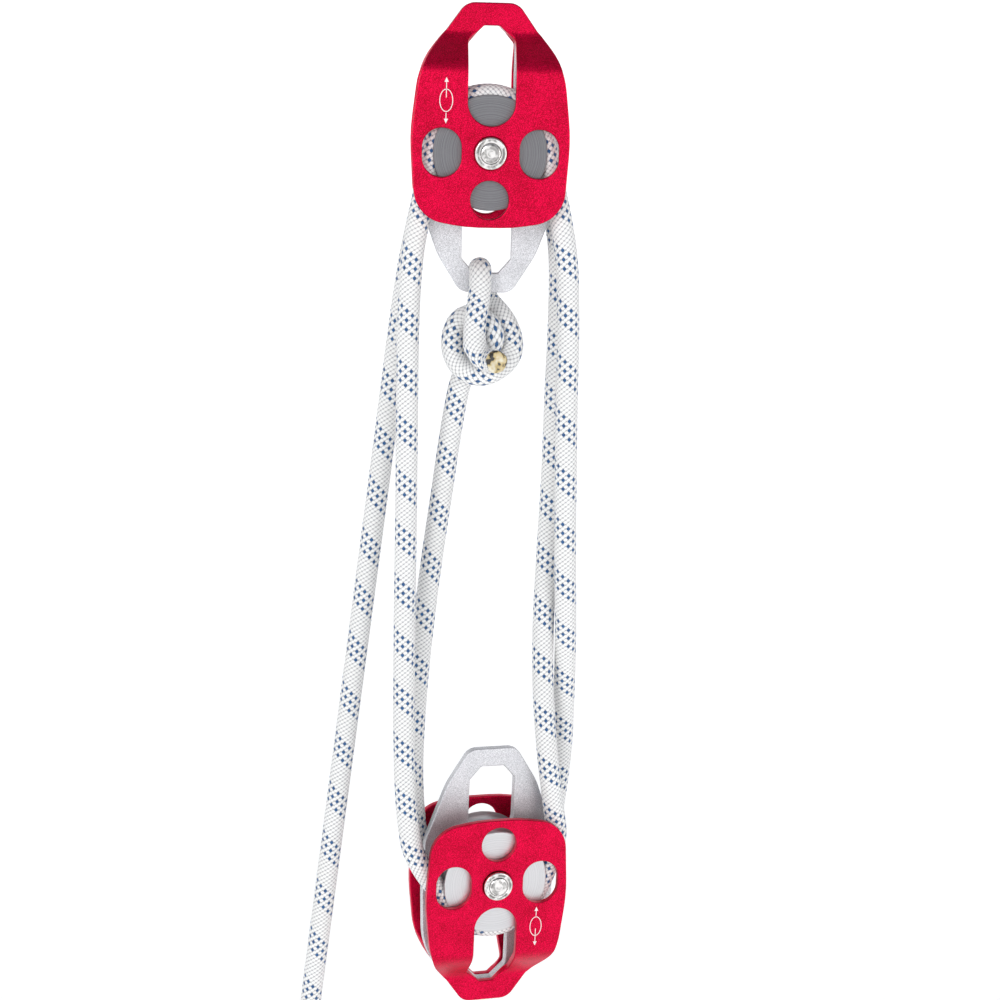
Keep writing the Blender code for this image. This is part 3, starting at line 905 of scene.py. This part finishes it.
centreSide = -stack["centre"] / 2 - stack["gap"]
bushEnds = (-sleeve["bushOuterEnd"], -sleeve["bushInnerEnd"])
spacerEnds = (centreSide - sleeve["spacerLength"], centreSide)
outerRace = raceMesh(bearing["outerBore"], bearing["outer"], bearing["outerBore"], 1)
innerRace = raceMesh(bearing["bore"], bearing["inner"], bearing["inner"], -1)
shapes = {
    "cheek": (cheekMesh(), "red_anodised"),
    "washer": (washerMesh(), "stainless"),
    "bush": (ringMesh(bearing["bore"], sleeve["outer"], *bushEnds), "bronze"),
    "spacer": (ringMesh(bearing["bore"], sleeve["outer"], *spacerEnds), "bronze"),
    "sheave": (sheaveMesh(), "machined_aluminium"),
    "outer_race": (outerRace, "race_steel"),
    "inner_race": (innerRace, "race_steel"),
    "ball_cage": (
        ringMesh(cage["inner"], cage["outer"], -cage["half"], cage["half"]),
        "cage_brass",
    ),
}
ownBody = {"cheek": "_cheek", "sheave": "_sheave", "outer_race": "_sheave", "ball_cage": "_ball_cage"}
atSheave = ("sheave", "outer_race", "inner_race", "ball_cage")
middle = Matrix.Translation((0, -stack["sheaveMiddle"], 0))
balls = ballsMesh()


def finishOf(block, slot):
    return finishes.get(slot) or finishes[block + slot]


for block, place in places.items():
    for name, mesh, slot in (
        ("centre_plate", centreMesh(), "blasted_aluminium"),
        ("axle", axleMesh(), "stainless"),
    ):
        node = block + "_" + name
        piece = show(node + "_body", mesh, place, block + "_block", finishOf(block, slot), slot, node)
        evenShading(piece)
    for side, turn in sides.items():
        label = block + "_" + side
        for name, (shape, slot) in shapes.items():
            local = turn @ middle if name in atSheave else turn
            body = label + ownBody[name] if name in ownBody else block + "_block"
            finish = finishOf(block, slot)
            node = label + "_" + name
            piece = show(node + "_body", shape.copy(), place @ local, body, finish, slot, node)
            evenShading(piece)
        piece = show(
            label + "_balls",
            balls.copy(),
            place @ turn @ middle,
            label + "_ball_cage",
            finishOf(block, "race_steel"),
            "race_steel",
        )
        piece.data.shade_smooth()
        for number, mesh in enumerate(markMeshes()):
            show(f"{label}_mark_{number}", mesh, place @ turn, label + "_cheek", printed)
    print("tackle:", block, "block made")


def onCurve(points, step):
    # for each point, the smooth curve from it up to the next one
    points = [np.array(point, float) for point in points]
    ends = [2 * points[0] - points[1]] + points + [2 * points[-1] - points[-2]]
    spans = []
    for before, start, end, after in zip(ends, ends[1:], ends[2:], ends[3:]):
        length = np.linalg.norm(end - start)
        leave = (end - before) * length / np.linalg.norm(end - before)
        arrive = (after - start) * length / np.linalg.norm(after - start)
        share = np.linspace(0, 1, max(2, round(length / step)), endpoint=False)[:, None]
        back = 1 - share
        spans.append(
            start * (1 + 2 * share) * back * back
            + leave * share * back * back
            + end * (3 - 2 * share) * share * share
            - arrive * back * share * share
        )
    return spans


def lengths(line):
    steps = np.linalg.norm(np.diff(line, axis=0), axis=1)
    return np.concatenate([[0], np.cumsum(steps)])


def resampled(line, spots):
    along = lengths(line)
    return np.stack([np.interp(spots, along, line[:, axis]) for axis in range(3)], axis=1)


def wrapOf(block, side):
    # points round a sheave, from the block's own +X over to its -X
    contact = contactAngle[block]
    count = round((180 - 2 * contact) / rope["wrapStep"])
    turns = np.radians(np.linspace(contact, 180 - contact, count + 1))
    depth = stack["sheaveMiddle"] * (-1 if side == "front" else 1)
    ring = [
        Vector((rope["pitchRadius"] * math.cos(turn), depth, rope["pitchRadius"] * math.sin(turn)))
        for turn in turns
    ]
    return [places[block] @ point for point in ring]


becketBar = [(-0.0146, -0.0025, -0.0735), (0.0146, 0.0025, -0.0633)]  # in the block's own frame
knotSettling = {
    "rounds": 260,
    "spacing": 0.002,
    "apart": 0.0118,  # a little under a rope's width, as a pulled knot beds in
    "reach": 0.021,  # along the rope, nearer than which strands don't push
    "push": 0.5,  # share of an overlap undone in a round
    "soften": 0.10,
    "hold": 0.02,  # back towards the chosen route
    "heldPoints": 6,  # where a knot meets its run
    "pressed": 0.0010,  # from the becket's bar, which the rope is pulled flat against
    "dip": 0.0044,  # how far the flattened rope sinks over the bar
    "dipReach": 0.006,
    "barPush": 0.8,
    "barGap": 0.0002,
}


def settled(line, fixedStart, fixedEnd, bar=None):
    # pushes strands that lie in each other apart, and keeps the rope smooth and its route
    along = lengths(line)
    count = round(along[-1] / knotSettling["spacing"])
    start = resampled(line, np.linspace(0, along[-1], count + 1))
    if bar is not None:
        overBar = start[:, 2] > bar[0][2]
        fade = np.exp(-((start[:, 1] / knotSettling["dipReach"]) ** 2))
        start[:, 2] -= np.where(overBar, knotSettling["dip"] * fade, 0)
    points = start.copy()
    numbers = np.arange(len(points))
    between = np.abs(numbers[:, None] - numbers[None]) * knotSettling["spacing"]
    near = between < knotSettling["reach"]
    free = ((numbers >= fixedStart) & (numbers < len(points) - fixedEnd))[:, None]
    for _ in range(knotSettling["rounds"]):
        apart = points[:, None] - points[None]
        distance = np.linalg.norm(apart, axis=2) + 1e-9
        deep = np.where(near, 0, np.maximum(0, knotSettling["apart"] - distance))
        pushed = (apart / distance[:, :, None] * deep[:, :, None]).sum(axis=1)
        crowd = np.maximum(1, (deep > 0).sum(axis=1))[:, None]
        move = pushed / crowd * knotSettling["push"]
        move[1:-1] += knotSettling["soften"] * (points[:-2] + points[2:] - 2 * points[1:-1])
        move += knotSettling["hold"] * (start - points)
        if bar is not None:
            low, high = bar
            closest = np.clip(points, low, high)
            out = points - closest
            far = np.linalg.norm(out, axis=1)[:, None] + 1e-9
            deepInBar = np.maximum(0, knotSettling["pressed"] - far)
            move += out / far * deepInBar * knotSettling["barPush"]
        points = points + np.where(free, move, 0)
    return points


def fromAxle(points):
    return [places["upper"].translation + Vector(point) for point in points]


sections = {
    "rope_becket_knot": (fromAxle(becketKnot), "upper_block"),
    "rope_standing_run": (fromAxle(standingRun), "upper_block"),
    "rope_lower_rear_wrap": (wrapOf("lower", "rear"), "lower_block"),
    "rope_crossing_run": (fromAxle(crossingRun), "upper_block"),
    "rope_upper_front_wrap": (wrapOf("upper", "front"), "upper_block"),
    "rope_front_run": (fromAxle(frontRun), "upper_block"),
    "rope_lower_front_wrap": (wrapOf("lower", "front"), "lower_block"),
    "rope_rear_run": (fromAxle(rearRun), "upper_block"),
    "rope_upper_rear_wrap": (wrapOf("upper", "rear"), "upper_block"),
    "rope_fall": (fromAxle(fall), "upper_block"),
    "rope_stopper_knot": (fromAxle(stopperKnot), "upper_block"),
}


def ropeLines():
    # the centreline of each section, from one curve through them all, with its knots settled
    joined = []
    starts = []
    for points, _ in sections.values():
        starts.append(len(joined))
        joined += points
    spans = onCurve(joined, rope["curveStep"])
    starts.append(len(joined) - 1)
    lines = []
    for first, last in zip(starts, starts[1:]):
        lines.append(np.concatenate(spans[first:last] + [np.array([joined[last]], float)]))
    corners = [places["upper"] @ Vector(corner) for corner in becketBar]
    held = knotSettling["heldPoints"]
    lines[0] = settled(lines[0], 0, held, np.array(corners))
    lines[-1] = settled(lines[-1], held, 0)
    return lines


def ropeFrames(line):
    # directions across the rope that don't twist about it
    tangents = np.gradient(line, axis=0)
    tangents /= np.linalg.norm(tangents, axis=1)[:, None]
    across = [np.cross(tangents[0], (0, 0, 1.0))]
    across[0] /= np.linalg.norm(across[0])
    for tangent in tangents[1:]:
        carried = across[-1] - tangent * np.dot(across[-1], tangent)
        across.append(carried / np.linalg.norm(carried))
    across = np.array(across)
    return tangents, across, np.cross(tangents, across)


def braidHeight(around, along):
    # 0 in a gap between strands and 1 on a strand's crown
    one = (around + along) * rope["strands"]
    other = (around - along) * rope["strands"]
    offOne = one - np.round(one)
    offOther = other - np.round(other)
    return np.clip(1 - 2.2 * (offOne**2 + offOther**2), 0, 1)


def clearOfBar(points):
    # points inside the becket's bar, moved out to its nearest face, as the rope flattens on it
    own = np.array(places["upper"].inverted())
    local = points @ own[:3, :3].T + own[:3, 3]
    gap = np.array((0, knotSettling["barGap"], knotSettling["barGap"]))
    low, high = np.array(becketBar) + (-gap, gap)
    inside = ((local > low) & (local < high)).all(axis=1)
    sideways = high[1] - np.abs(local[:, 1])
    upwards = high[2] - local[:, 2]
    aside = inside & (sideways <= upwards)
    above = inside & (sideways > upwards)
    local[aside, 1] = np.sign(local[aside, 1]) * high[1]
    local[above, 2] = high[2]
    placed = np.array(places["upper"])
    return local @ placed[:3, :3].T + placed[:3, 3]


def tube(name, centres, across, upright, along, radii):
    # rings of points with the braid's relief, and a map of where each lies in the braid
    count = rope["sides"]
    around = np.arange(count) / count
    angles = around * math.tau
    relief = rope["relief"] * (1 - braidHeight(around[None], (along / rope["lead"])[:, None]))
    reach = (radii[:, None] - relief)[:, :, None]
    cosine = np.cos(angles)[None, :, None]
    sine = np.sin(angles)[None, :, None]
    rings = centres[:, None] + reach * (cosine * across[:, None] - sine * upright[:, None])
    points = clearOfBar(rings.reshape(-1, 3))
    row = np.arange(count)
    following = (row + 1) % count
    base = (np.arange(len(centres) - 1) * count)[:, None]
    corners = [base + row, base + following, base + count + following, base + count + row]
    faces = np.stack(corners, axis=2).reshape(-1, 4).tolist()
    ends = [row[::-1].tolist(), (len(points) - count + row).tolist()]
    mesh = bpy.data.meshes.new(name)
    mesh.from_pydata(points.tolist(), [], faces + ends)
    ringOf = np.repeat(np.arange(len(centres) - 1), count)
    sideOf = np.tile(row, len(centres) - 1)
    low, high = along[ringOf] / rope["lead"], along[ringOf + 1] / rope["lead"]
    left, right = sideOf / count, (sideOf + 1) / count
    spots = np.stack([left, low, right, low, right, high, left, high], axis=1).reshape(-1)
    layer = mesh.uv_layers.new(name="braid")
    layer.data.foreach_set("uv", np.concatenate([spots, np.zeros(4 * count)]))
    work = bmesh.new()
    work.from_mesh(mesh)
    bmesh.ops.recalc_face_normals(work, faces=work.faces)
    work.to_mesh(mesh)
    work.free()
    mesh.shade_smooth()
    return mesh


ringStep = rope["lead"] / rope["strands"] / 2
parts = ropeLines()
whole = np.concatenate([part[:-1] for part in parts[:-1]] + [parts[-1]])
total = lengths(whole)[-1]
ringPlaces = np.arange(0, int(total / ringStep) + 1) * ringStep
centreline = resampled(whole, ringPlaces)
for _ in range(rope["smoothing"]):
    centreline[1:-1] = (centreline[:-2] + 2 * centreline[1:-1] + centreline[2:]) / 4
tangents, across, upright = ropeFrames(centreline)
edges = np.cumsum([0] + [lengths(part)[-1] for part in parts])
edges = [min(len(ringPlaces) - 1, round(edge / ringStep)) for edge in edges]
hoist = jointOf("hoist")
travel = hoist["range_m"][1]
print(f"tackle: rope of {total:.2f} m")

for number, (name, (_, body)) in enumerate(sections.items()):
    first, last = edges[number], edges[number + 1]
    low = max(0, first - 1)
    high = min(len(ringPlaces) - 1, last + 1)
    radii = np.full(high - low + 1, rope["radius"])
    if low < first:
        radii[0] -= rope["tuck"]
    if high > last:
        radii[-1] -= rope["tuck"]
    mesh = tube(
        name + "_sheath",
        centreline[low : high + 1],
        across[low : high + 1],
        upright[low : high + 1],
        ringPlaces[low : high + 1],
        radii,
    )
    piece = show(name + "_sheath", mesh, Matrix.Identity(4), body, finishes["braid"], "braid", name)
    path = centreline[first : last + 1]
    if name.endswith("_run"):
        top = max(path[0][2], path[-1][2])
        reach = top - min(path[0][2], path[-1][2])
        (reach - travel) / reach
        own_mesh(piece)
    knot = "knot" in name
    lengths(path)[-1]
    "bare" if name == "rope_stopper_knot" else "object"
    "loose" if knot else "hanging" if name == "rope_fall" else "taut"


meltedCap = {
    "steps": 9,
    "depth": 0.0016,
    "inset": 0.00005,  # from the rope's surface
    "rounding": 0.28,  # share of the radius
    "skirt": 0.0008,  # back into the rope
    "dimple": (0.45, 0.8),  # shares of the radius and the depth
    "tip": 0.65,  # share of the depth
    "wobble": ((0.03, 3, 1), (0.02, 5, 0)),  # height, waves round the end, and where they start
}


def endCap(name, index, direction, body):
    # the rope's end, rounded over where it was melted
    depth = meltedCap["depth"]
    skirt = meltedCap["skirt"]
    rounding = meltedCap["rounding"]
    radius = rope["radius"] - meltedCap["inset"]
    rings = [(radius, -skirt)]
    for turn in np.linspace(0, math.pi / 2, meltedCap["steps"]):
        rings.append((radius * (1 - rounding + rounding * math.cos(turn)), depth * math.sin(turn)))
    dimple, dimpleRise = meltedCap["dimple"]
    rings.append((radius * dimple, depth * dimpleRise))
    work = bmesh.new()
    centre = Vector(centreline[index])
    out = Vector(tangents[index]) * direction
    first = Vector(across[index])
    second = out.cross(first)
    count = rope["sides"]
    rows = []
    for reach, rise in rings:
        row = []
        for side in range(count):
            turn = math.tau * side / count
            wobble = 1
            for tall, waves, start in meltedCap["wobble"]:
                wobble += tall * math.sin(waves * turn + start)
            spoke = first * math.cos(turn) + second * math.sin(turn)
            row.append(work.verts.new(centre + spoke * reach * wobble + out * rise))
        rows.append(row)
    for lower, upper in zip(rows, rows[1:]):
        for side in range(count):
            following = (side + 1) % count
            work.faces.new((lower[side], lower[following], upper[following], upper[side]))
    tip = work.verts.new(centre + out * depth * meltedCap["tip"])
    back = work.verts.new(centre - out * skirt)
    for side in range(count):
        following = (side + 1) % count
        work.faces.new((rows[-1][side], rows[-1][following], tip))
        work.faces.new((rows[0][following], rows[0][side], back))
    bmesh.ops.recalc_face_normals(work, faces=work.faces)
    mesh = bpy.data.meshes.new(name)
    work.to_mesh(mesh)
    work.free()
    mesh.shade_smooth()
    return show(name, mesh, Matrix.Identity(4), body, melted)


endCap("rope_tail_end", 0, -1, "upper_block")
endCap("rope_fall_end", len(centreline) - 1, 1, "upper_block")
print("tackle: rope made")


studio = {
    "floorHeight": -1.3,
    "floorRadius": 2.6,
    "bend": 1.2,  # radius of the curve from the floor up to the wall
    "wallTop": 1.6,
    "color": (0.90, 0.90, 0.90),
    "glow": 0.42,
    "worldColor": (0.9, 0.93, 1.0),
    "worldStrength": 0.38,
}
lamps = {  # place, size, power, and what each is aimed at
    "key": ((-1.1, -1.7, 0.55), 0.9, 15, (0, 0, -0.25)),
    "fill": ((1.4, -1.5, -0.2), 1.0, 7, (0, 0, -0.30)),
}
camera = {
    "distance": 1.1,
    "target": (0.00515, 0, -0.25056),
    "azimuth": -3.4,
    "elevation": 12.78,
    "roll": 0.19,
    "lens": 73.0,
}


def addBackdrop():
    # a floor that curves up into a wall all round
    floorHeight, floorRadius, curve = studio["floorHeight"], studio["floorRadius"], studio["bend"]
    outline = [(0, floorHeight)]
    for turn in np.linspace(0, math.pi / 2, 13):
        rise = floorHeight + curve * (1 - math.cos(turn))
        outline.append((floorRadius + curve * math.sin(turn), rise))
    outline.append((floorRadius + curve, studio["wallTop"]))
    work = bmesh.new()
    verts = [work.verts.new((radius, 0, height)) for radius, height in outline]
    edges = [work.edges.new(pair) for pair in zip(verts, verts[1:])]
    bmesh.ops.spin(
        work, geom=verts + edges, axis=(0, 0, 1), angle=math.tau, steps=96, use_merge=True
    )
    bmesh.ops.remove_doubles(work, verts=work.verts, dist=0.0001)
    bmesh.ops.recalc_face_normals(work, faces=work.faces)
    mesh = bpy.data.meshes.new("backdrop")
    work.to_mesh(mesh)
    work.free()
    mesh.shade_smooth()
    backdrop = bpy.data.objects.new("backdrop", mesh)
    bpy.context.scene.collection.objects.link(backdrop)
    glow = (*studio["color"], 1)
    finish = Finish("pale backdrop", Roughness=0.8, Base_Color=glow, Emission_Color=glow)
    finish.feed("Emission Strength", studio["glow"])
    mesh.materials.append(finish.material)


def addWorld():
    world = bpy.data.worlds.new("studio")
    bpy.context.scene.world = world
    world.use_nodes = True
    sky = world.node_tree.nodes["Background"]
    sky.inputs["Color"].default_value = (*studio["worldColor"], 1)
    sky.inputs["Strength"].default_value = studio["worldStrength"]


def aimed(obj, place, target):
    obj.location = place
    obj.rotation_euler = (Vector(target) - Vector(place)).to_track_quat("-Z", "Y").to_euler()
    bpy.context.scene.collection.objects.link(obj)


def addLamps():
    for name, (place, size, power, target) in lamps.items():
        light = bpy.data.lights.new(name, "AREA")
        light.size = size
        light.energy = power
        aimed(bpy.data.objects.new(name, light), place, target)


def addCamera():
    view = bpy.data.cameras.new("camera")
    view.lens = camera["lens"]
    view.sensor_width = 36
    azimuth = math.radians(camera["azimuth"])
    elevation = math.radians(camera["elevation"])
    back = Vector(
        (
            math.sin(azimuth) * math.cos(elevation),
            -math.cos(azimuth) * math.cos(elevation),
            math.sin(elevation),
        )
    )
    target = Vector(camera["target"])
    eye = bpy.data.objects.new("camera", view)
    aimed(eye, target + back * camera["distance"], target)
    eye.rotation_euler.rotate_axis("Z", math.radians(camera["roll"]))
    bpy.context.scene.camera = eye


addBackdrop()
addWorld()
addLamps()
addCamera()
bpy.context.scene.view_settings.view_transform = "Standard"
print("tackle: studio made")

bpy.context.view_layer.update()
